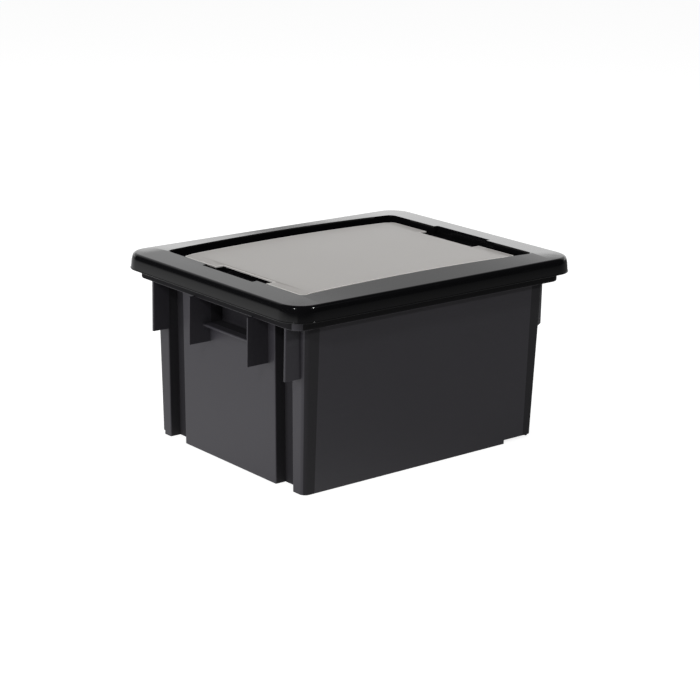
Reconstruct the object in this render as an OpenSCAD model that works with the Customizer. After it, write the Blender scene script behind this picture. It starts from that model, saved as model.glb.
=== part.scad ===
// Portable file box: a drafted tub with moulded grips and a lift-off lid with a pale inset panel.
// Millimetres, +Z up. The origin is on the ground under the middle of the tub, +X runs along
// the length, and the tub looks the same after half a turn about Z.

/* [Tub] */
// Length of the tub outside, at the foot
base_length = 379.6; // [360:0.2:400]
// Width of the tub outside, at the foot
base_width = 298.6; // [280:0.2:320]
// Lean of each outer wall from the vertical, in degrees
wall_draft = 1.35; // [0.8:0.05:1.6]
// Thickness of the tub's walls
tub_wall = 3; // [2:0.1:4]
// Thickness of the tub's floor
tub_floor = 3; // [2:0.1:5]
// Outer radius of the tub's upright corners
corner_radius = 8; // [4:0.5:14]
// Height from the ground to the top of the tub's outer lip
tub_height = 242.3; // [230:0.2:260]

/* [Foot] */
// Height of the foot rim below the underside of the floor
foot_height = 5; // [3:0.5:8]
// Distance from the tub's middle to the raised end of the foot rim
foot_reach = 140; // [120:1:160]

/* [Rim] */
// Depth of the folder rail below the top of the lip
rail_drop = 13.3; // [12:0.1:16]
// Depth of the shelf between the rail and the lip, below the top of the lip
shelf_drop = 23.3; // [21:0.1:26]
// Distance from the wall's outer face at the foot to the lip's outer face, at the ends
lip_end_reach = 27.2; // [24:0.2:30]
// Distance from the wall's outer face at the foot to the lip's outer face, at the sides
lip_side_reach = 15.9; // [14:0.1:20]
// Height of the lip, from its lower edge to its top
lip_height = 31.6; // [28:0.1:35]
// Thickness of the lip and the shelf
lip_wall = 3; // [2:0.1:4]
// Outer radius of the lip's corners
lip_radius = 18; // [14:0.5:24]

/* [End grooves] */
// Distance from the middle of the end to the near side of a groove
groove_start = 95; // [85:1:100]
// Width of a groove along the end
groove_width = 33; // [24:1:36]
// Depth of a groove into the end
groove_depth = 14.8; // [8:0.2:18]

/* [Grips] */
// Distance from the end wall's face at the foot to the outer edges of a grip's side plates
plate_reach = 34.9; // [30:0.1:36]
// Thickness of the side plates
plate_wall = 2; // [1.6:0.1:3]
// Distance from the end's middle to the outer face of the first side plate
plate_near = 82; // [70:1:88]
// Distance from the end's middle to the inner face of the second side plate
plate_far = 36.5; // [30:0.5:50]
// Length of the side plates below the lip
plate_height = 60.2; // [50:0.1:66]
// Depth of the hand recess's sill below the lip
sill_drop = 36.2; // [30:0.1:42]
// Distance from the end wall's face at the foot to the outer edge of the sill
sill_reach = 14.7; // [10:0.1:18]
// Thickness of the sill
sill_wall = 3; // [2:0.1:4]
// Depth of the hand recess into the end wall
recess_depth = 14.8; // [10:0.2:18]

/* [Corner lugs] */
// Distance from the end wall's face at the foot to a lug's outer face
lug_reach = 26.7; // [20:0.1:27]
// Length of the lugs below the lip
lug_height = 64.7; // [50:0.1:76]
// Width of the near lug along the end
near_lug_width = 16.5; // [12:0.5:17]
// Width of the far lug along the end
far_lug_width = 16.5; // [12:0.5:17]
// Width of the near lug's outer edge
lug_nose = 3; // [2.5:0.5:10]
// Distance by which the lugs reach over the grooves beside them
lug_overlap = 1; // [0.5:0.5:4]
// Size of the chamfers on the lugs' outer corners
lug_chamfer = 2; // [1:0.5:4]
// Thickness of the lugs' walls
lug_wall = 2.5; // [2:0.1:3]

/* [Lid] */
// Thickness of the lid's walls
lid_wall = 2.5; // [2:0.1:3]
// Gap between the tub's lip and the inside of the lid's skirt, at its top
skirt_gap = 8; // [5:0.5:10]
// Height of the skirt, from its lower edge to the lid's flat top
skirt_height = 22.1; // [16:0.1:26]
// Distance by which the skirt's lower edge stands out past its top
skirt_flare = 4; // [0:0.5:6]
// Outer radius of the lid's upright corners, at its top
lid_radius = 29; // [24:1:34]
// Radius of the rounding between the lid's top and its skirt
lid_fillet = 5.5; // [3:0.5:7]
// Rise of the lid's middle over its flat outer edge
crown = 3.5; // [1:0.5:6]
// Width of the raised rim at the two ends
rim_end = 39; // [34:0.5:42]
// Width of the raised rim along the two sides
rim_side = 36.6; // [32:0.2:40]
// Depth of the channel inside the rim
channel_depth = 11; // [8:0.5:13]
// Radius of the rim's inner corners
channel_radius = 10; // [6:0.5:14]
// Height of the locating rib below the lid's underside
rib_height = 5; // [3:0.5:8]
// Thickness of the locating rib
rib_wall = 2; // [1.5:0.1:3]
// Length of the locating rib along a side, from each end
rib_return = 22; // [18:1:40]

/* [Inset panel] */
// Width of the channel between the rim and the panel at the two ends
channel_end = 13.5; // [10:0.5:20]
// Width of the channel between the rim and the panel along the sides
channel_side = 18; // [12:0.5:24]
// Depth of the panel's face below the rim
panel_drop = 5.5; // [4:0.5:7]
// Thickness of the panel
panel_thickness = 1.5; // [1:0.1:2.5]
// Radius of the panel's corners
panel_radius = 7; // [4:0.5:12]
// Length of the finger pocket at each end, along the end
pocket_length = 103; // [80:1:120]
// Distance by which a finger pocket cuts into the panel
pocket_notch = 13; // [8:0.5:18]
// Distance by which a finger pocket cuts into the rim
pocket_step = 7; // [4:0.5:9]

/* [Fits] */
// Gap between the lid's underside and the tub's lip it rests on
seat_gap = 0.3; // [0.2:0.05:0.5]
// Gap between the locating rib and the tub's lip
rib_gap = 0.6; // [0.3:0.1:1]
// Gap between the panel and the plateau that it is bonded to
bond_gap = 0.2; // [0.1:0.05:0.4]

/* [Hidden] */
corner_steps = 6;
crown_steps = 12;
skin = 0.05;
embed = 1;
cut = 1;

draft = tan(wall_draft);
base_x = base_length / 2;
base_y = base_width / 2;
lip_x = base_x + lip_end_reach;
lip_y = base_y + lip_side_reach;
groove_end = groove_start + groove_width;

rail_height = tub_height - rail_drop;
shelf_height = tub_height - shelf_drop;
lip_bottom = tub_height - lip_height;
plate_bottom = lip_bottom - plate_height;
sill_height = lip_bottom - sill_drop;
lug_bottom = lip_bottom - lug_height;

lid_underside = tub_height + seat_gap;
lid_top = lid_underside + lid_wall;
lid_x = lip_x + skirt_gap + lid_wall;
lid_y = lip_y + skirt_gap + lid_wall;
rim_x = lid_x - rim_end;
rim_y = lid_y - rim_side;
channel_floor = lid_top - channel_depth;
panel_x = rim_x - channel_end;
panel_y = rim_y - channel_side;
panel_top = lid_top - panel_drop;
plateau_top = panel_top - panel_thickness - bond_gap;

// Half sizes of the tub's outer wall at a height
function wall_x(z) = base_x + z * draft;
function wall_y(z) = base_y + z * draft;

// Rise of the crown at a distance from the lid's middle
function rise(x) = crown * (1 - pow(x / rim_x, 2));

// A quarter arc of points about a centre
function arc(centre, radius, start) = [
    for (i = [0 : corner_steps])
        centre + radius * [cos(start + 90 * i / corner_steps), sin(start + 90 * i / corner_steps)]
];

// Points round a rounded rectangle, given by its half sizes
function rounded_plan(half_x, half_y, radius) =
    let (x = half_x - radius, y = half_y - radius)
    concat(
        arc([x, y], radius, 0), arc([-x, y], radius, 90),
        arc([-x, -y], radius, 180), arc([x, -y], radius, 270)
    );

// Points round one groove in the right-hand end, from its floor out past the wall
function groove_plan(half_x, y, width) = [
    [half_x - groove_depth, y], [half_x + cut, y],
    [half_x + cut, y + width], [half_x - groove_depth, y + width]
];

// A solid between a lower and an upper plan, both convex and with as many points
module loft(lower, upper, z_low, z_high) {
    n = len(lower);
    points = concat(
        [for (p = lower) [p.x, p.y, z_low]],
        [for (p = upper) [p.x, p.y, z_high]]
    );
    sides = [
        for (i = [0 : n - 1])
            let (j = (i + 1) % n)
            [i, n + i, n + j, j]
    ];
    caps = [[for (i = [0 : n - 1]) i], [for (i = [n - 1 : -1 : 0]) n + i]];
    polyhedron(points = points, faces = concat(sides, caps));
}

// A flat rounded rectangle
module rounded(half_x, half_y, radius) {
    polygon(rounded_plan(half_x, half_y, radius));
}

// The rounded rectangle as an upright block
module block(half_x, half_y, radius, z_low, z_high) {
    translate([0, 0, z_low])
        linear_extrude(z_high - z_low)
            rounded(half_x, half_y, radius);
}

// What is drawn at one end of the tub, and again half a turn round
module both_ends() {
    for (turn = [0, 180])
        rotate([0, 0, turn])
            children();
}

// The drafted body of the tub between two heights, inset from its outer face
module drafted(inset, z_low, z_high) {
    radius = corner_radius - inset / 2;
    difference() {
        loft(
            rounded_plan(wall_x(z_low) - inset, wall_y(z_low) - inset, radius),
            rounded_plan(wall_x(z_high) - inset, wall_y(z_high) - inset, radius),
            z_low, z_high
        );
        both_ends() grooves(inset, z_low - cut, z_high + cut);
    }
}

// The two grooves of one end, widened by the inset
module grooves(inset, z_low, z_high) {
    width = groove_width + 2 * inset;
    for (y = [groove_start - inset, -groove_end - inset])
        loft(
            groove_plan(wall_x(z_low) - inset, y, width),
            groove_plan(wall_x(z_high) - inset, y, width),
            z_low, z_high
        );
}

// The hand recess between the side plates of the left-hand grip, grown by a distance
module recess(grow) {
    near = plate_wall - plate_near - grow;
    back = base_x - recess_depth - grow;
    low = sill_height - grow;
    translate([-base_x - plate_reach, near, low])
        cube([base_x + plate_reach - back, plate_far + grow - near, lip_bottom - embed + grow - low]);
}

// The two side plates of the left-hand grip, and the sill that reaches out between them
module grip() {
    root = wall_x(plate_bottom) - embed;
    inside_lip = lip_x - lip_wall / 2;
    in_shelf = shelf_height - lip_wall / 2;
    over_lip = lip_bottom + embed;
    for (y = [-plate_near, plate_far])
        translate([0, y + plate_wall, 0])
            rotate([90, 0, 0])
                linear_extrude(plate_wall)
                    polygon([
                        [-root, plate_bottom], [-base_x - plate_reach, plate_bottom],
                        [-base_x - plate_reach, over_lip], [-inside_lip, over_lip],
                        [-inside_lip, in_shelf], [-root, in_shelf]
                    ]);
    translate([-base_x - sill_reach, plate_wall / 2 - plate_near, sill_height - sill_wall])
        cube([base_x + sill_reach - root, plate_near + plate_far, sill_wall]);
}

// Wedge-shaped plans of the lugs at the near and the far corner of the left-hand end
module lug_plans() {
    root = wall_x(lug_bottom) - embed;
    outer = base_x + lug_reach;
    near_side = -groove_end + lug_overlap;
    near_end = -groove_end - near_lug_width;
    far_side = groove_end - lug_overlap;
    far_end = groove_end + far_lug_width;
    polygon([
        [-root, near_side], [-outer, near_end + lug_nose], [-outer, near_end + lug_chamfer],
        [-outer + lug_chamfer, near_end], [-root, near_end]
    ]);
    polygon([
        [-root, far_side], [-outer, far_side], [-outer, far_side + lug_chamfer],
        [-root, far_end]
    ]);
}

// The two lugs, open below
module corner_lugs() {
    difference() {
        translate([0, 0, lug_bottom])
            linear_extrude(lip_bottom + embed - lug_bottom)
                lug_plans();
        translate([0, 0, lug_bottom - embed])
            linear_extrude(lip_bottom - lug_wall - lug_bottom)
                offset(delta = -lug_wall)
                    lug_plans();
    }
}

module tub() {
    color("#2d2c30")
    difference() {
        union() {
            difference() {
                drafted(0, 0, rail_height);
                difference() {
                    drafted(tub_wall, foot_height + tub_floor, rail_height + cut);
                    both_ends() recess(tub_wall);
                }
                drafted(tub_wall, -cut, foot_height);
            }
            // Shelf and lip around the top, outside the folder rail
            difference() {
                block(lip_x, lip_y, lip_radius, lip_bottom, tub_height);
                block(lip_x - lip_wall, lip_y - lip_wall, lip_radius - lip_wall,
                    shelf_height, tub_height + cut);
                block(lip_x - lip_wall, lip_y - lip_wall, lip_radius - lip_wall,
                    lip_bottom - cut, shelf_height - lip_wall);
                drafted(tub_wall / 2, lip_bottom - cut, shelf_height + cut);
            }
            both_ends() {
                grip();
                corner_lugs();
            }
        }
        both_ends() recess(0);
        // The foot rim stops short of one corner on each long side
        both_ends()
            translate([foot_reach, -base_y - cut, -cut])
                cube([base_x + cut - foot_reach, corner_radius + cut, foot_height + cut]);
    }
}

// The crowned outer form of the lid, inset from its outer faces
module lid_form(inset, skirt_low) {
    x = lid_x - inset;
    y = lid_y - inset;
    top = lid_top - inset;
    flare = skirt_flare * (lid_top - skirt_low) / skirt_height;
    fillet = lid_fillet - inset / 2;
    hull() {
        block(x + flare, y + flare, lid_radius + flare, skirt_low, skirt_low + skin);
        for (angle = [0 : 30 : 90])
            block(x - fillet * (1 - cos(angle)), y - fillet * (1 - cos(angle)), lid_radius - inset,
                top - fillet * (1 - sin(angle)) - skin, top - fillet * (1 - sin(angle)));
        crowned(rim_y, top - fillet, top);
    }
}

// A block over the recess whose top follows the crown
module crowned(half_y, z_low, z_mid) {
    rotate([90, 0, 0])
        linear_extrude(2 * half_y, center = true)
            polygon(concat(
                [for (i = [-crown_steps / 2 : crown_steps / 2])
                    let (x = 2 * rim_x * i / crown_steps) [x, z_mid + rise(x)]],
                [[rim_x, z_low], [-rim_x, z_low]]
            ));
}

// Plan of the recess inside the rim, with a finger pocket at each end
module recess_plan(grow) {
    rounded(rim_x + grow, rim_y + grow, channel_radius + grow);
    square([2 * (rim_x + pocket_step + grow), pocket_length + 2 * grow], center = true);
}

// Plan of the plateau and the panel on it, notched at each end
module panel_plan(shrink) {
    notch_x = panel_x - pocket_notch;
    difference() {
        rounded(panel_x - shrink, panel_y - shrink, panel_radius);
        for (side = [-1, 1])
            translate([side * (notch_x - shrink + panel_x / 2), 0])
                square([panel_x, pocket_length + 2 * shrink], center = true);
    }
}

// The plateau's shape: the panel's plan up to a crowned top
module plateau(shrink, z_low, z_mid) {
    intersection() {
        crowned(rim_y, z_low, z_mid);
        translate([0, 0, z_low])
            linear_extrude(lid_top)
                panel_plan(shrink);
    }
}

module lid() {
    skirt_low = lid_top - skirt_height;
    color("#101012") {
        difference() {
            lid_form(0, skirt_low);
            // Hollow under the rim, around the recess
            difference() {
                lid_form(lid_wall, skirt_low - cut);
                translate([0, 0, channel_floor - lid_wall])
                    linear_extrude(lid_top)
                        recess_plan(lid_wall);
            }
            // Channel and finger pockets, around the plateau
            difference() {
                translate([0, 0, channel_floor])
                    linear_extrude(lid_top)
                        recess_plan(0);
                plateau(0, channel_floor - cut, plateau_top);
            }
            plateau(lid_wall, channel_floor - 2 * lid_wall, plateau_top - lid_wall);
        }
        // Locating rib inside the tub's lip, left out over the hook troughs of the two sides
        rib_x = lip_x - lip_wall - rib_gap;
        rib_y = lip_y - lip_wall - rib_gap;
        rib_radius = lip_radius - lip_wall - rib_gap;
        difference() {
            block(rib_x, rib_y, rib_radius, lid_underside - rib_height, lid_underside + lid_wall / 2);
            block(rib_x - rib_wall, rib_y - rib_wall, rib_radius - rib_wall,
                lid_underside - rib_height - cut, lid_top);
            cube([2 * (rib_x - rib_return), 2 * lid_y, 3 * lid_top], center = true);
        }
    }
}

module lid_panel() {
    color("#aaa6a2")
        difference() {
            plateau(0, channel_floor, panel_top);
            plateau(-cut, channel_floor - cut, panel_top - panel_thickness);
        }
}

tub();
lid();
lid_panel();
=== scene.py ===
import math

import bmesh
import bpy
from mathutils import Matrix, Vector


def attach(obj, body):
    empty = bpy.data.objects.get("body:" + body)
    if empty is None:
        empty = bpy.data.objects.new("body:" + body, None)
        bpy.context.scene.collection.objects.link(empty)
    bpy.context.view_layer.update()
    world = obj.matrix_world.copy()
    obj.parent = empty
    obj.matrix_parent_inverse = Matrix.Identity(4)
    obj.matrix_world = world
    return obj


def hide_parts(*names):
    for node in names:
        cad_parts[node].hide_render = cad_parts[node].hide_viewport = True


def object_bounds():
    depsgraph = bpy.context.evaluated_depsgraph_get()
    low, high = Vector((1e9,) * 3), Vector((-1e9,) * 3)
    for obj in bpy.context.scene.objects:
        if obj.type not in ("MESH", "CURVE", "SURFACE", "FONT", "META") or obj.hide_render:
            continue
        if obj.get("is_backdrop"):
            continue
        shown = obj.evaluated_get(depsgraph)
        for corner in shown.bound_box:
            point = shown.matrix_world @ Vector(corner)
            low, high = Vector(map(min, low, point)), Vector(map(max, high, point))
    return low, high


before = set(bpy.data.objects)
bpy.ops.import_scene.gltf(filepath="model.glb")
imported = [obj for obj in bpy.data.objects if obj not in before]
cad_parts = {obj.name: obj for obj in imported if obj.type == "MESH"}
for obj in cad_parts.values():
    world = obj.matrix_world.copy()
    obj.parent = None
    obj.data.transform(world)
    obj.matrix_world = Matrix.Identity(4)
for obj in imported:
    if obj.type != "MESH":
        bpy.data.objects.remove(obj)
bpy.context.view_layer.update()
bpy.ops.object.select_all(action="DESELECT")


# ---------------------------------------------------------------- Tub
# The tub is one injection moulding in charcoal plastic with a fine satin grain. Its drafted
# walls carry the end grooves, the lip and shelf, the grips and the corner lugs, and its
# upper edge is the rail that hanging folders ride on.
MM = 0.001
TUB_CHARCOAL = (0.0390, 0.0370, 0.0440)
BASE_X, BASE_Y = 189.8, 149.3
CORNER_ROUND = 8
LEAN = math.tan(math.radians(1.35))
WALL = 3.0
FOOT_HEIGHT, FLOOR_TOP, RAIL_TOP = 5, 8, 229.0
LIP_X, LIP_Y, LIP_ROUND = 217.0, 165.2, 18
LIP_LOW, LIP_TOP, SHELF_TOP = 210.7, 242.3, 219.0
GROOVE_NEAR, GROOVE_FAR, GROOVE_DEPTH = 95, 128, 14.8
# What hangs under the lip starts inside the end wall and reaches a little way up into the lip
ROOT, EMBED = 192, 1
PLATE_NEAR, PLATE_FAR, PLATE_WALL = -82, 36.5, 2
PLATE_LOW, PLATE_OUT = 150.5, 224.7
WEB_LOW, WEB_TOP, WEB_OUT = 205, 217.5, 215.5
SILL_LOW, SILL_TOP, SILL_OUT = 171.5, 174.5, 204.5
HAND_BACK, HAND_TOP = 175, 209.7
LUG_LOW, LUG_OUT, LUG_WIDTH, LUG_TAPER, LUG_WALL = 146, 216.5, 17.5, 14, 1.6
GAP_START, GAP_WALL = 140, 141.3
# How far a cutting shape runs past what it cuts
CUT = 5


def block(name, low, high):
    """A plain block between two corners in millimetres, to start a shape from."""
    low, high = Vector(low) * MM, Vector(high) * MM
    bpy.ops.mesh.primitive_cube_add(size=1, location=(low + high) / 2, scale=high - low)
    bpy.ops.object.transform_apply(location=True, rotation=True, scale=True)
    bpy.context.object.name = name
    return bpy.context.object


def closed_block(name, one, other):
    """A block between any two opposite corners in millimetres."""
    low = [min(pair) for pair in zip(one, other)]
    high = [max(pair) for pair in zip(one, other)]
    return block(name, low, high)


def pick(kind, test):
    """In edit mode, selects each vertex, edge or face that passes the test."""
    bpy.ops.mesh.select_mode(type=kind)
    bpy.ops.mesh.select_all(action="DESELECT")
    mesh = bmesh.from_edit_mesh(bpy.context.edit_object.data)
    for item in {"VERT": mesh.verts, "EDGE": mesh.edges, "FACE": mesh.faces}[kind]:
        item.select_set(bool(test(item)))
    mesh.select_flush_mode()
    bmesh.update_edit_mesh(bpy.context.edit_object.data)


def middle(item):
    """The middle of an edge or face in millimetres."""
    places = [v.co for v in item.verts]
    return sum(places, Vector()) / len(places) / MM


def upright(edge):
    """True for an edge that stands nearly straight up."""
    run = edge.verts[1].co - edge.verts[0].co
    return abs(run.z) > 0.9 * run.length


def edit(piece):
    """Opens one piece in edit mode."""
    bpy.ops.object.select_all(action="DESELECT")
    piece.select_set(True)
    bpy.context.view_layer.objects.active = piece
    bpy.ops.object.mode_set(mode="EDIT")


def close():
    """Leaves edit mode."""
    bpy.ops.object.mode_set(mode="OBJECT")


def combine(piece, other, way):
    """Joins the other shape to the piece, or cuts it away, and removes it."""
    step = piece.modifiers.new("combine", "BOOLEAN")
    step.operation, step.solver, step.object = way, "EXACT", other
    bpy.context.view_layer.objects.active = piece
    bpy.ops.object.modifier_apply(modifier=step.name)
    bpy.data.objects.remove(other)


def slab(name, half_x, half_y, radius, low, high, segments=8):
    """A block centred on the box, with its upright edges rounded."""
    piece = block(name, (-half_x, -half_y, low), (half_x, half_y, high))
    edit(piece)
    pick("EDGE", upright)
    bpy.ops.mesh.bevel(offset=radius * MM, segments=segments, affect="EDGES")
    close()
    return piece


def wall_x(z):
    """How far the end wall's face stands from the middle at a height."""
    return BASE_X + z * LEAN


def wall_y(z):
    """How far the side wall's face stands from the middle at a height."""
    return BASE_Y + z * LEAN


def drafted(name, inset, low, high, soften=0.0):
    """The tub's leaning body with its four end grooves, inset from the outer face."""
    x, y = wall_x(low) - inset, wall_y(low) - inset
    piece = block(name, (-x, -y, low), (x, y, high))
    edit(piece)
    pick("FACE", lambda f: f.normal.z > 0.5)
    grown = ((wall_x(high) - inset) / x, (wall_y(high) - inset) / y, 1)
    bpy.ops.transform.resize(value=grown, center_override=(0, 0, high * MM))
    pick("EDGE", upright)
    bpy.ops.mesh.bevel(offset=(CORNER_ROUND - inset / 2) * MM, segments=8, affect="EDGES")
    close()
    for x_side in (-1, 1):
        for y_side in (-1, 1):
            foot, head = low - CUT, high + CUT
            back = wall_x(foot) - inset - GROOVE_DEPTH
            groove = closed_block("groove", (x_side * back, y_side * (GROOVE_NEAR - inset), foot),
                                  (x_side * (back + 60), y_side * (GROOVE_FAR + inset), head))
            edit(groove)
            pick("FACE", lambda f: f.normal.z > 0.5)
            bpy.ops.transform.translate(value=(x_side * (head - foot) * LEAN * MM, 0, 0))
            close()
            combine(piece, groove, "DIFFERENCE")
    if soften:
        edit(piece)
        pick("EDGE", lambda e: upright(e) and abs(middle(e).x) > BASE_X - CUT and
             min(abs(abs(middle(e).y) - GROOVE_NEAR), abs(abs(middle(e).y) - GROOVE_FAR)) < 1)
        bpy.ops.mesh.bevel(offset=soften * MM, segments=3, affect="EDGES")
        close()
    return piece


tub = drafted("tub_moulding", 0, 0, RAIL_TOP, soften=1.2)
inside = drafted("inside", WALL, FLOOR_TOP, RAIL_TOP + CUT)
hand_near = PLATE_NEAR + PLATE_WALL
for turn in (1, -1):
    combine(inside, closed_block(
        "recess_back", (-turn * (HAND_BACK - WALL), turn * (hand_near - WALL), SILL_TOP - WALL),
        (-turn * 230, turn * (PLATE_FAR + WALL), HAND_TOP + WALL)), "DIFFERENCE")
combine(tub, inside, "DIFFERENCE")
combine(tub, drafted("under", WALL, -CUT, FOOT_HEIGHT), "DIFFERENCE")

# The lip hangs round the rail on a narrow shelf, and the lid rests on its upper edge
lip = slab("lip", LIP_X, LIP_Y, LIP_ROUND, LIP_LOW, LIP_TOP)
edit(lip)
pick("EDGE", lambda e: abs(e.verts[0].co.z - e.verts[1].co.z) < 1e-5)
bpy.ops.mesh.bevel(offset=0.9 * MM, segments=3, affect="EDGES")
close()
for name, low, high in (("over_shelf", SHELF_TOP, LIP_TOP + CUT),
                        ("under_shelf", LIP_LOW - CUT, SHELF_TOP - WALL)):
    combine(lip, slab(name, LIP_X - WALL, LIP_Y - WALL, LIP_ROUND - WALL, low, high), "DIFFERENCE")
combine(lip, drafted("lip_root", WALL / 2, LIP_LOW - 2, SHELF_TOP + 2), "DIFFERENCE")
combine(tub, lip, "UNION")

for turn in (1, -1):
    # Side plates of the grip, with a web of each reaching up inside the lip
    for y in (PLATE_NEAR, PLATE_FAR):
        plate = closed_block("side_plate", (-turn * ROOT, turn * y, PLATE_LOW),
                             (-turn * PLATE_OUT, turn * (y + PLATE_WALL), LIP_LOW + EMBED))
        edit(plate)
        bpy.ops.mesh.bevel(offset=0.5 * MM, segments=3, affect="EDGES")
        close()
        combine(tub, plate, "UNION")
        combine(tub, closed_block("web", (-turn * ROOT, turn * y, WEB_LOW),
                                  (-turn * WEB_OUT, turn * (y + PLATE_WALL), WEB_TOP)), "UNION")

    # The sill reaches out between the plates, with the hand recess over it
    sill = closed_block("sill", (-turn * ROOT, turn * (PLATE_NEAR + PLATE_WALL / 2), SILL_LOW),
                        (-turn * SILL_OUT, turn * (PLATE_FAR + PLATE_WALL / 2), SILL_TOP))
    edit(sill)
    pick("EDGE", lambda e: abs(middle(e).x) > SILL_OUT - 0.5 and not upright(e))
    bpy.ops.mesh.bevel(offset=1.1 * MM, segments=4, affect="EDGES")
    close()
    combine(tub, sill, "UNION")
    hand = closed_block("hand_recess", (-turn * HAND_BACK, turn * hand_near, SILL_TOP),
                        (-turn * 224, turn * PLATE_FAR, HAND_TOP))
    combine(tub, hand, "DIFFERENCE")

    # Two wedge-shaped lugs under the lip's corners, open below, each drawn in on its far side
    for y, rounding in ((-144.5, 1.5), (127, 1)):
        far_side = y + LUG_WIDTH
        lug = closed_block("lug", (-turn * (ROOT + 0.2), turn * y, LUG_LOW),
                           (-turn * LUG_OUT, turn * far_side, LIP_LOW + EMBED))
        edit(lug)
        pick("VERT", lambda v: abs(v.co.x) > 200 * MM and abs(v.co.y - turn * far_side * MM) < MM)
        bpy.ops.transform.translate(value=(0, -turn * LUG_TAPER * MM, 0))
        pick("EDGE", lambda e: upright(e) and abs(middle(e).x) > 200)
        bpy.ops.mesh.bevel(offset=rounding * MM, segments=4, affect="EDGES")
        pick("FACE", lambda f: f.normal.z < -0.5)
        bpy.ops.mesh.inset(thickness=LUG_WALL * MM)
        bpy.ops.mesh.extrude_region_move(TRANSFORM_OT_translate={"value": (0, 0, 60 * MM)})
        close()
        combine(tub, lug, "UNION")

    # The foot rim stops short of one corner on each long side
    combine(tub, closed_block("foot_gap", (turn * GAP_START, -turn * 160, -CUT),
                              (turn * 200, -turn * GAP_WALL, FOOT_HEIGHT)), "DIFFERENCE")


def finish_mesh(piece, angle=35):
    """Merges stray points, and shades the rounded edges smooth against the flat faces."""
    edit(piece)
    bpy.ops.mesh.select_all(action="SELECT")
    bpy.ops.mesh.remove_doubles(threshold=0.00001)
    close()
    bpy.ops.object.shade_smooth_by_angle(angle=math.radians(angle))
    weighted = piece.modifiers.new("weighted", "WEIGHTED_NORMAL")
    weighted.keep_sharp = True
    bpy.ops.object.modifier_apply(modifier=weighted.name)


finish_mesh(tub)


class Wire:
    """A shader socket that sums and products are written on, and that makes the other nodes."""

    def __init__(self, tree, socket=None):
        self.tree, self.socket = tree, socket

    def node(self, kind, settings=(), inputs=(), out=0):
        made = self.tree.nodes.new(kind)
        for name, value in dict(settings).items():
            setattr(made, name, value)
        for name, value in dict(inputs).items():
            if isinstance(value, Wire):
                self.tree.links.new(value.socket, made.inputs[name])
            else:
                made.inputs[name].default_value = value
        if out is None:
            return [Wire(self.tree, socket) for socket in made.outputs]
        return Wire(self.tree, made.outputs[out]) if made.outputs else None

    def maths(self, operation, one, other):
        return self.node("ShaderNodeMath", {"operation": operation}, {0: one, 1: other})

    def __add__(self, other):
        return self.maths("ADD", self, other)

    def __radd__(self, other):
        return self.maths("ADD", other, self)

    def __sub__(self, other):
        return self.maths("SUBTRACT", self, other)

    def __rsub__(self, other):
        return self.maths("SUBTRACT", other, self)

    def __mul__(self, other):
        return self.maths("MULTIPLY", self, other)

    def __rmul__(self, other):
        return self.maths("MULTIPLY", other, self)

    def __truediv__(self, other):
        return self.maths("DIVIDE", self, other)

    def __rtruediv__(self, other):
        return self.maths("DIVIDE", other, self)


def moulded(name, colour, spread, rough, grain, relief, sway, shade=None):
    """A moulded plastic: flow marks in its colour, a fine grain, scuffs, and a slight sway of its walls.
    Shade gives where painted shade darkens the colour and roughens the finish."""
    material = bpy.data.materials.new(name)
    material.use_nodes = True
    material.node_tree.nodes.clear()
    start = Wire(material.node_tree)
    place = start.node("ShaderNodeTexCoord", out="Object")
    flow = start.node("ShaderNodeTexNoise", (), {"Vector": place, "Scale": 9.0, "Detail": 3.0})
    fine = start.node("ShaderNodeTexNoise", (), {"Vector": place, "Scale": grain, "Detail": 2.0})
    long_way = start.node("ShaderNodeMapping", (), {"Vector": place, "Scale": (40.0, 40.0, 420.0)})
    marks = start.node("ShaderNodeTexNoise", (), {"Vector": long_way, "Scale": 1.0, "Detail": 5.0})
    scuff = start.node("ShaderNodeMapRange", (), {0: marks, 1: 0.62, 2: 0.82, 3: 0.0, 4: 1.0})
    tone = start.node("ShaderNodeMix", {"data_type": "RGBA"}, {
        0: flow, 6: (*[c * (1 - spread) for c in colour], 1),
        7: (*[c * (1 + spread) for c in colour], 1)}, out=2)
    body = tone.node("ShaderNodeMix", {"data_type": "RGBA"}, {
        0: scuff * 0.35, 6: tone, 7: (*[c * 1.5 + 0.004 for c in colour], 1)}, out=2)
    gloss = rough + 0.05 * (flow - 0.5) + 0.1 * scuff
    if shade:
        # Painted shade: where the mask is set, the colour falls to a fifth of the plastic's and the
        # finish turns rougher.
        painted_dark = shade(place)
        gloss = gloss + 0.45 * painted_dark
        body = tone.node("ShaderNodeMix", {"data_type": "RGBA"}, {
            0: painted_dark, 6: body, 7: (*[c * 0.2 for c in colour], 1)}, out=2)
    walls = start.node("ShaderNodeTexNoise", (), {"Vector": place, "Scale": 7.0, "Detail": 0.0})
    swayed = start.node("ShaderNodeBump", (), {"Height": walls, "Strength": 1.0, "Distance": sway})
    grained = start.node("ShaderNodeBump", (), {
        "Height": fine, "Strength": 0.5, "Distance": relief, "Normal": swayed})
    finish = start.node("ShaderNodeBsdfPrincipled", (), {
        "Base Color": body, "Roughness": gloss, "Normal": grained})
    start.node("ShaderNodeOutputMaterial", (), {"Surface": finish})
    return material


def reaches(place, x, y):
    """How far a point lies outside a box about the middle, less than 0 inside, and how high it lies."""
    size = place.node("ShaderNodeVectorMath", {"operation": "ABSOLUTE"}, {0: place})
    past = size.node("ShaderNodeVectorMath", {"operation": "SUBTRACT"},
                     {0: size, 1: (x * MM, y * MM, 0)})
    split = past.node("ShaderNodeSeparateXYZ", (), {0: past}, out=None)
    return split[0].maths("MAXIMUM", split[0], split[1]), split[2]


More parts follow.
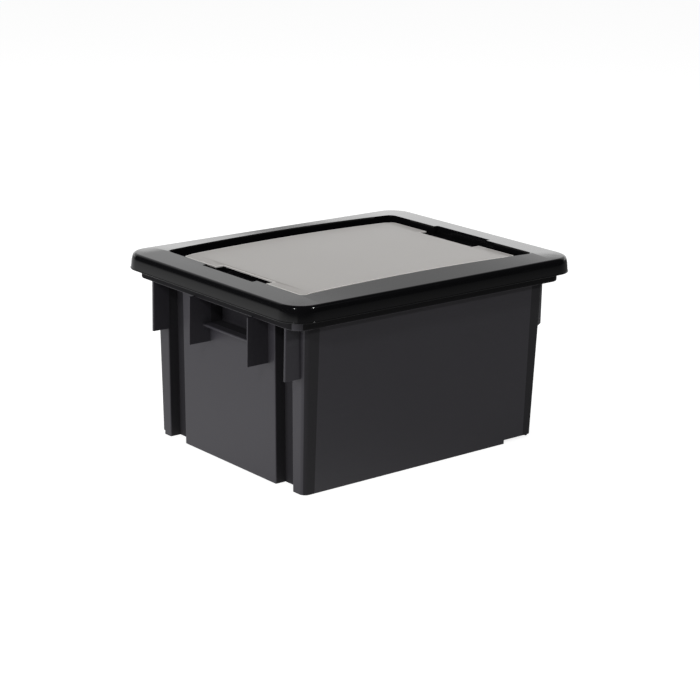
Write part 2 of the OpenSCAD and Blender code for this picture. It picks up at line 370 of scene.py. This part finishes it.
def painted_shade_zones(place):
    """Where shade is painted on the tub: the lip's face under the lid's skirt and the depths of the
    grooves and hand recesses are painted dark.
    """
    skin = 1.5
    past, height = reaches(place, LIP_X - skin, LIP_Y - skin)
    above_hem = height.maths("GREATER_THAN", height, (LIP_LOW + 0.8) * MM)
    lip = past.maths("GREATER_THAN", past, 0.0) * above_hem
    size = place.node("ShaderNodeVectorMath", {"operation": "ABSOLUTE"}, {0: place})
    along = size.node("ShaderNodeSeparateXYZ", (), {0: size}, out="X")
    depth = (BASE_X - skin) * MM + LEAN * height - along
    outside = along.maths("GREATER_THAN", along, (HAND_BACK - skin) * MM)
    deep = depth.maths("GREATER_THAN", depth, 0.0) * outside
    return lip.maths("MAXIMUM", lip, 0.7 * deep)


tub.data.materials.clear()
# The tub's plastic carries painted shade on the lip under the skirt and in the grooves and hand recesses.
tub.data.materials.append(moulded("charcoal_plastic", TUB_CHARCOAL, 0.06, 0.45, 2200.0, 0.00002, 0.0001,
                                  shade=painted_shade_zones))
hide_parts("tub")
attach(tub, "tub_body")


# ---------------------------------------------------------------- Lid
# The lid is one injection moulding in polished black plastic. Its flared skirt hangs over the
# tub's lip, and a raised rim frames a deep channel round the low crowned plateau in its middle.
LID_BLACK = (0.0035, 0.0035, 0.004)
LID_X, LID_Y, LID_ROUND = 227.5, 175.7, 29
LID_LOW, LID_TOP, LID_WALL = 223.0, 245.1, 2.5
FLARE, HEM = 4, 0.2
RIM_X, RIM_Y, RIM_CORNER = 188.5, 139.1, 10
RIM_FALL, RIM_ROUND, HOLLOW_ROUND = 2.0, 3.5, 4.2
CHANNEL_FLOOR = 234.1
CROWN, CROWN_STEP = 3.5, 16
# The rim's crown ends just inside the recess's walls, and the plateau's beyond its own sides
RIM_CROWN_Y, PLATEAU_CROWN_Y = RIM_Y - 0.5, 130
POCKET, POCKET_DEPTH = 51.5, 7
PLATEAU_X, PLATEAU_Y, PLATEAU_ROUND, PLATEAU_TOP = 175, 121.1, 7, 237.9
NOTCH_X = 162
RIB_IN, RIB_WALL, RIB_LOW, RIB_TOP = 3.6, 2, 237.6, 243.8


def crown(piece, half_y, low):
    """Arches the points above a height over the piece's length, up to a distance from the middle line."""
    stations = [CROWN_STEP * i for i in range(-11, 12)] + [-188, 188]
    edit(piece)
    for x in stations:
        bpy.ops.mesh.select_all(action="SELECT")
        bpy.ops.mesh.bisect(plane_co=(x * MM, 0, 0), plane_no=(1, 0, 0))
    for y in (-half_y, half_y):
        bpy.ops.mesh.select_all(action="SELECT")
        bpy.ops.mesh.bisect(plane_co=(0, y * MM, 0), plane_no=(0, 1, 0))
    for x in stations:
        pick("VERT", lambda v: abs(v.co.x / MM - x) < 0.05 and v.co.z / MM > low
             and abs(v.co.y) / MM < half_y + 0.05)
        bpy.ops.transform.translate(value=(0, 0, CROWN * (1 - (x / RIM_X) ** 2) * MM))
    close()


def lid_form(name, inset, low, bead):
    """The lid's flared and crowned form, inset from its outer faces. With a bead at its hem it's the
    outside, whose rim falls outward, and without one the hollow."""
    flare = FLARE * (LID_TOP - low) / (LID_TOP - LID_LOW)
    top = LID_TOP - inset
    piece = slab(name, LID_X + flare - inset, LID_Y + flare - inset, LID_ROUND + flare - inset,
                 low, low + HEM + bead, segments=16)
    edit(piece)
    if bead:
        pick("EDGE", lambda e: not upright(e))
        bpy.ops.mesh.bevel(offset=0.5 * MM, segments=3, affect="EDGES")
    pick("FACE", lambda f: f.normal.z > 0.99)
    bpy.ops.mesh.inset(thickness=0.2 * bead * MM + 1e-6)
    rise = (top - low - HEM - bead) / 2
    for share in (0.3, 0.7):
        bpy.ops.mesh.inset(thickness=share * (flare - 0.7 * bead) * MM, depth=rise * MM)
    edge = top
    if bead:
        # The rim's outer edge is drawn down before it is rounded, and spokes keep its corners flat
        for half, across in ((RIM_X, (1, 0, 0)), (RIM_CROWN_Y, (0, 1, 0))):
            for side in (-half, half):
                bpy.ops.mesh.select_all(action="SELECT")
                bpy.ops.mesh.bisect(plane_co=[side * MM * n for n in across], plane_no=across)
        for turn_x, turn_y in ((1, 1), (-1, 1), (-1, -1), (1, -1)):
            for angle in (15, 30, 45, 60, 75):
                spoke = math.radians(angle)
                pick("FACE", lambda f: f.normal.z > 0.9 and turn_x * middle(f).x > RIM_X
                     and turn_y * middle(f).y > RIM_CROWN_Y)
                bpy.ops.mesh.bisect(plane_co=(turn_x * RIM_X * MM, turn_y * RIM_CROWN_Y * MM, 0),
                                    plane_no=(-turn_x * math.sin(spoke), turn_y * math.cos(spoke), 0))
        pick("VERT", lambda v: v.co.z > (top - 0.01) * MM and
             (abs(v.co.x) > (RIM_X + 5) * MM or abs(v.co.y) > (RIM_Y + 5) * MM))
        bpy.ops.transform.translate(value=(0, 0, -RIM_FALL * MM))
        edge = top - RIM_FALL
    pick("EDGE", lambda e: all(abs(v.co.z - edge * MM) < 0.01 * MM for v in e.verts))
    bpy.ops.mesh.bevel(offset=(RIM_ROUND if bead else HOLLOW_ROUND) * MM, segments=7, affect="EDGES")
    close()
    crown(piece, RIM_CROWN_Y, top - 0.05)
    return piece


def recess(name, grow, low):
    """The recess inside the rim, with a finger pocket at each end."""
    above = LID_TOP + 20
    piece = slab(name, RIM_X + grow, RIM_Y + grow, RIM_CORNER + grow, low, above)
    pocket = slab("pocket", RIM_X + POCKET_DEPTH + grow, POCKET + grow, 2, low, above, segments=4)
    combine(piece, pocket, "UNION")
    return piece


def plateau(name, shrink, low, high):
    """A block with the plan that plateau and panel share, notched at both ends."""
    piece = slab(name, PLATEAU_X - shrink, PLATEAU_Y - shrink, PLATEAU_ROUND, low, high)
    for side in (-1, 1):
        notch = closed_block("notch", (side * (NOTCH_X - shrink), -POCKET - shrink, low - CUT),
                             (side * 200, POCKET + shrink, high + CUT))
        combine(piece, notch, "DIFFERENCE")
    return piece


lid = lid_form("lid_moulding", 0, LID_LOW, 1.2)
hollow = lid_form("hollow", LID_WALL, LID_LOW - 1, 0)
combine(hollow, recess("around", LID_WALL, CHANNEL_FLOOR - LID_WALL), "DIFFERENCE")
combine(lid, hollow, "DIFFERENCE")
channel = recess("channel", 0, CHANNEL_FLOOR)
raised = plateau("raised", 0, CHANNEL_FLOOR - 1, PLATEAU_TOP)
crown(raised, PLATEAU_CROWN_Y, PLATEAU_TOP - 0.05)
combine(channel, raised, "DIFFERENCE")
combine(lid, channel, "DIFFERENCE")
under = plateau("under", LID_WALL, CHANNEL_FLOOR - CUT, PLATEAU_TOP - LID_WALL)
crown(under, PLATEAU_CROWN_Y, PLATEAU_TOP - LID_WALL - 0.05)
combine(lid, under, "DIFFERENCE")
rib = slab("rib", LIP_X - RIB_IN, LIP_Y - RIB_IN, LIP_ROUND - RIB_IN, RIB_LOW, RIB_TOP)
inner = RIB_IN + RIB_WALL
combine(rib, slab("rib_inside", LIP_X - inner, LIP_Y - inner, LIP_ROUND - inner, 230, 250), "DIFFERENCE")
combine(lid, rib, "UNION")
finish_mesh(lid, 30)

lid.data.materials.clear()
lid.data.materials.append(moulded("gloss_black_plastic", LID_BLACK, 0.05, 0.1, 1200.0, 0.000004, 0.0004))
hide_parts("lid")
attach(lid, "lid_body")


# ---------------------------------------------------------------- Inset panel
# A thin warm-grey sheet is bonded on the lid's plateau. It is crowned with the lid and notched for the
# finger pockets, and a narrow band along its top edge and its cut edges are painted a lighter grey, a
# painted highlight that shows as a light line.
PANEL_GREY = (0.335, 0.32, 0.305)
# The lighter grey is a painted highlight along the sheet's edge.
PANEL_EDGE_HIGHLIGHT = (0.62, 0.60, 0.58)
PANEL_LOW, PANEL_TOP, HIGHLIGHT_BAND = 238.1, 239.6, 1.8

panel = plateau("grey_panel", 0, PANEL_LOW, PANEL_TOP)
crown(panel, PLATEAU_CROWN_Y, PANEL_LOW - 0.1)
panel.data.materials.clear()
panel.data.materials.append(moulded("grey_sheet", PANEL_GREY, 0.015, 0.35, 1500.0, 0.00001, 0.0001))
panel.data.materials.append(moulded("painted_edge_highlight", PANEL_EDGE_HIGHLIGHT, 0.02, 0.45, 1500.0, 0.00001, 0.0001))
edit(panel)
# The band along the top's edge and the cut edges take the lighter colour, a painted highlight where light
# catches the edge.
pick("FACE", lambda f: f.normal.z > 0.9 and middle(f).z > PANEL_TOP - 0.6)
bpy.ops.mesh.inset(thickness=HIGHLIGHT_BAND * MM)
bpy.ops.mesh.select_all(action="INVERT")
panel.active_material_index = 1
bpy.ops.object.material_slot_assign()
close()
finish_mesh(panel, 30)
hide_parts("lid_panel")
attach(panel, "lid_body")


# ---------------------------------------------------------------- Studio
# A white floor under soft studio light, with the key light on the left of the camera. The floor
# and the backdrop are white to the camera, and glossy faces see a darker and softer studio.


def ray_kinds(start):
    """Tells camera rays, glossy rays and transmitted rays apart."""
    return [start.node("ShaderNodeLightPath", out=f"Is {kind} Ray")
            for kind in ("Camera", "Glossy", "Transmission")]


def eased(start, value, low, high, at_low, at_high):
    """Turns a value between two limits into another, with soft ends."""
    return start.node("ShaderNodeMapRange", {"interpolation_type": "SMOOTHSTEP"},
                      {0: value, 1: low, 2: high, 3: at_low, 4: at_high})


bpy.ops.mesh.primitive_plane_add(size=30, location=(0, 0, 0))
floor = bpy.context.object
floor.name = "studio_floor"
paper = bpy.data.materials.new("white_floor")
paper.use_nodes = True
paper.node_tree.nodes.clear()
start = Wire(paper.node_tree)
by_camera, by_gloss, through = ray_kinds(start)
place = start.node("ShaderNodeTexCoord", out="Object")
leftward = start.node("ShaderNodeVectorMath", {"operation": "DOT_PRODUCT"},
                      {0: place, 1: (-1.0, 1.0, 0.0)}, out=1)
bright_side = eased(start, leftward, -0.4, 0.4, 0.24, 0.9)
reach = start.node("ShaderNodeVectorMath", {"operation": "LENGTH"}, {0: place}, out=1)
lit = start.node("ShaderNodeEmission", (), {"Strength": bright_side / (1 + reach / 3.0)})
glow = start.node("ShaderNodeEmission", (), {"Strength": 0.85 * (by_camera + through)})
matt = start.node("ShaderNodeBsdfDiffuse", (), {"Color": (0.42, 0.42, 0.42, 1)})
direct = start.node("ShaderNodeAddShader", (), {0: glow, 1: matt})
surface = start.node("ShaderNodeMixShader", (), {0: by_gloss, 1: direct, 2: lit})
start.node("ShaderNodeOutputMaterial", (), {"Surface": surface})
paper.cycles.emission_sampling = "NONE"
floor.data.materials.append(paper)
floor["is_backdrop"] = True

world = bpy.data.worlds.new("studio")
world.cycles.sampling_method = "NONE"
bpy.context.scene.world = world
world.use_nodes = True
world.node_tree.nodes.clear()
start = Wire(world.node_tree)
by_camera, by_gloss, through = ray_kinds(start)
way = start.node("ShaderNodeTexCoord", out="Generated")
height = start.node("ShaderNodeSeparateXYZ", (), {0: way}, out="Z")
behind = start.node("ShaderNodeVectorMath", {"operation": "DOT_PRODUCT"},
                    {0: way, 1: (0.641, 0.768, 0.0)}, out=1)
backdrop = eased(start, behind, 0.35, 0.75, 0.0, 1.0)
rising = eased(start, height, 0.45, 0.85, 0.85, 0.0)
strip_foot = eased(start, height, 0.02, 0.14, 0.3, 1.0)
strip_head = eased(start, height, 0.1, 0.35, 1.1, 0.0)
reflected = 0.02 + backdrop * (rising + strip_foot * strip_head)
strength = by_camera + through + by_gloss * reflected + 0.3 * (1 - by_camera - through - by_gloss)
sky = start.node("ShaderNodeBackground", (), {"Strength": strength})
start.node("ShaderNodeOutputWorld", (), {"Surface": sky})

# The two softboxes stay out of the glossy faces, and the small lamps leave their glints there
for name, place, size, power in (
        ("left_softbox", (-2.9, 0.35, 0.75), 1.5, 54),
        ("top_softbox", (0.2, 0.3, 2.6), 1.5, 24),
        ("key_light", (-2.6, -1.4, 2.2), 0.25, 20),
        ("fill_light", (1.6, -3.0, 2.4), 0.3, 34)):
    bpy.ops.object.light_add(type="AREA", location=place)
    lamp = bpy.context.object
    lamp.name = name
    lamp.data.size, lamp.data.energy = size, power
    lamp.visible_glossy = size < 1
    lamp.rotation_euler = (Vector((0, 0, 0.1)) - lamp.location).to_track_quat("-Z", "Y").to_euler()

bpy.ops.object.camera_add()
camera = bpy.context.object
camera.name = "camera"
turn, tilt, roll = math.radians(-39.844), math.radians(90 - 15.601), math.radians(1.209)
facing = Matrix.Rotation(turn, 4, "Z") @ Matrix.Rotation(tilt, 4, "X") @ Matrix.Rotation(roll, 4, "Z")
camera.matrix_world = Matrix.Translation((-1.6066, -1.9253, 0.8402)) @ facing
camera.data.lens, camera.data.sensor_width = 103.94, 36
camera.data.shift_x, camera.data.shift_y = 0.00123, -0.0268
camera.data.clip_start, camera.data.clip_end = 0.05, 60
bpy.context.scene.camera = camera
bpy.context.scene.view_settings.view_transform = "Standard"


low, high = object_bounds()
